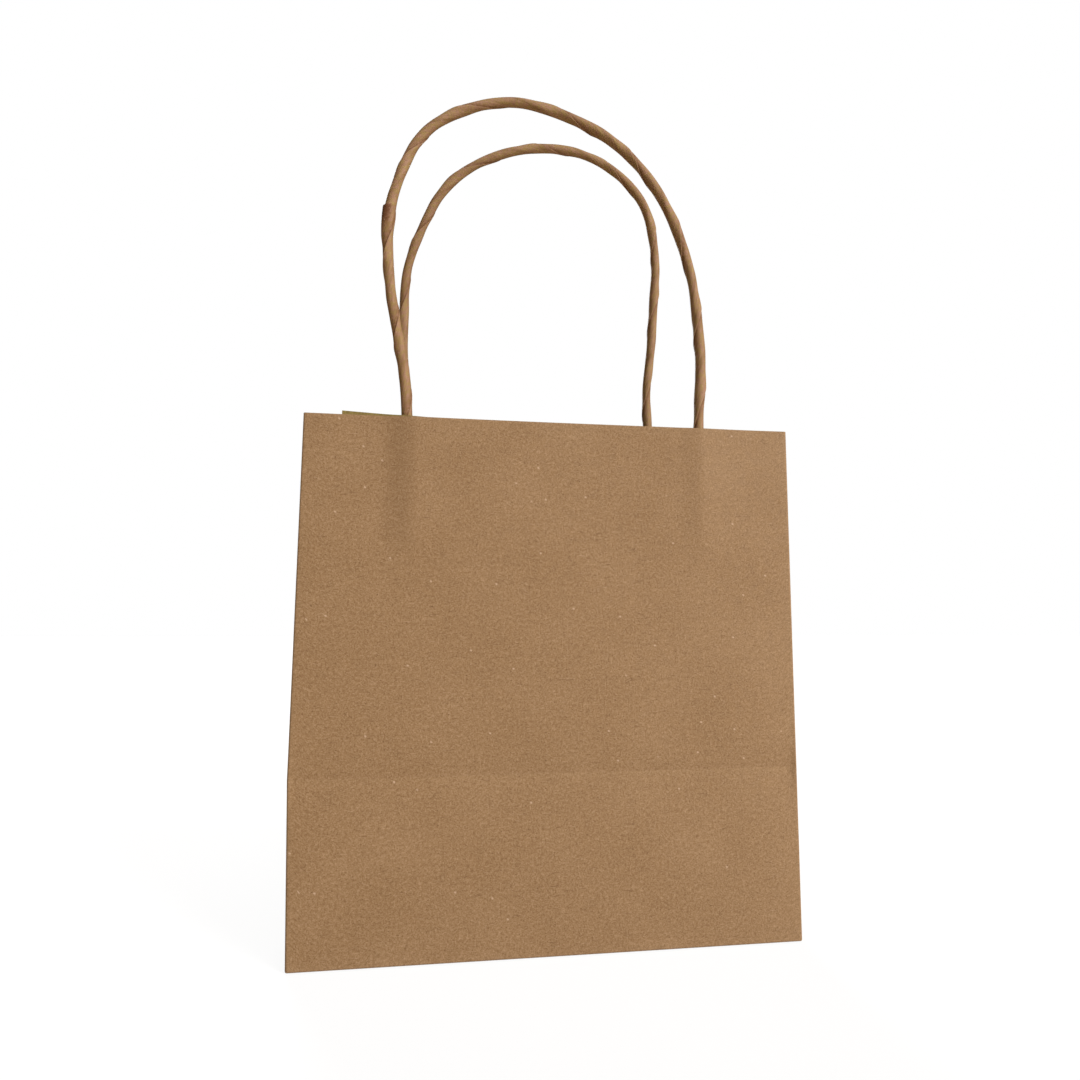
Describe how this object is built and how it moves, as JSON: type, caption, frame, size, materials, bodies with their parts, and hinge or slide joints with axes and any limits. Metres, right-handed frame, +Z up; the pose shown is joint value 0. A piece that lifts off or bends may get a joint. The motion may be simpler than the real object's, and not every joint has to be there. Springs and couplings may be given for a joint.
{
  "type": "gift bag",
  "caption": "Small upright paper gift bag with folding side gussets, a glued folded base and looped twisted-paper cord handles.",
  "frame": {"origin": "centre of the bag's footprint, on the surface it stands on", "axes": "+X across the front panel to its right, -Y out of the front panel, +Z up to the handles"},
  "size_m": [0.15, 0.058, 0.2776],
  "materials": {
    "kraft_paper": "matt brown kraft paper with short fibres",
    "patch_paper": "matt brown kraft paper, glued in two layers",
    "paper_cord": "brown kraft paper twisted into a round cord"
  },
  "bodies": {
    "back": {"back_panel": "kraft_paper", "side_seam_flap": "kraft_paper", "handle_back_leg_left": "paper_cord", "handle_back_leg_right": "paper_cord", "handle_back_patch_backing": "patch_paper", "handle_back_patch_cover": "patch_paper"},
    "gusset_left_rear_half": {"gusset_left_back": "kraft_paper"},
    "gusset_left_front_half": {"gusset_left_front": "kraft_paper"},
    "front": {"front_panel": "kraft_paper", "handle_front_leg_left": "paper_cord", "handle_front_leg_right": "paper_cord", "handle_front_patch_backing": "patch_paper", "handle_front_patch_cover": "patch_paper"},
    "gusset_right_rear_half": {"gusset_right_back": "kraft_paper"},
    "gusset_right_front_half": {"gusset_right_front": "kraft_paper"},
    "base": {"base_flap_front": "kraft_paper", "base_flap_back": "kraft_paper", "base_tuck_left": "kraft_paper", "base_tuck_right": "kraft_paper"},
    "front_handle": {"handle_front_loop": "paper_cord"},
    "back_handle": {"handle_back_loop": "paper_cord"}
  },
  "joints": [
    {"name": "fold_flat", "type": "hinge", "parent": "back", "child": "gusset_left_rear_half", "pos_m": [-0.0749, 0.0289, 0], "axis": [0, 0, 1], "range_deg": [0, 78]},
    {"name": "left_middle_crease", "type": "hinge", "parent": "gusset_left_rear_half", "child": "gusset_left_front_half", "pos_m": [-0.0749, 0, 0], "axis": [0, 0, -1], "range_deg": [0, 156]},
    {"name": "front_left_crease", "type": "hinge", "parent": "gusset_left_front_half", "child": "front", "pos_m": [-0.0749, -0.0289, 0], "axis": [0, 0, 1], "range_deg": [0, 78]},
    {"name": "back_right_crease", "type": "hinge", "parent": "back", "child": "gusset_right_rear_half", "pos_m": [0.0749, 0.0289, 0], "axis": [0, 0, -1], "range_deg": [0, 78]},
    {"name": "right_middle_crease", "type": "hinge", "parent": "gusset_right_rear_half", "child": "gusset_right_front_half", "pos_m": [0.0749, 0, 0], "axis": [0, 0, 1], "range_deg": [0, 156]},
    {"name": "base_fold", "type": "hinge", "parent": "back", "child": "base", "pos_m": [0, 0.0282, 0.013], "axis": [-1, 0, 0], "range_deg": [0, 90]},
    {"name": "front_handle_swing", "type": "hinge", "parent": "front", "child": "front_handle", "pos_m": [0, -0.02685, 0.1582], "axis": [1, 0, 0], "range_deg": [0, 90], "stiffness_Nm_per_rad": 0.006},
    {"name": "back_handle_swing", "type": "hinge", "parent": "back", "child": "back_handle", "pos_m": [0, 0.02685, 0.1582], "axis": [-1, 0, 0], "range_deg": [0, 90], "stiffness_Nm_per_rad": 0.006}
  ],
  "couplings": [
    {"joint": "left_middle_crease", "follows": "fold_flat", "ratio": 2},
    {"joint": "front_left_crease", "follows": "fold_flat", "ratio": 1},
    {"joint": "back_right_crease", "follows": "fold_flat", "ratio": 1},
    {"joint": "right_middle_crease", "follows": "fold_flat", "ratio": 2}
  ]
}
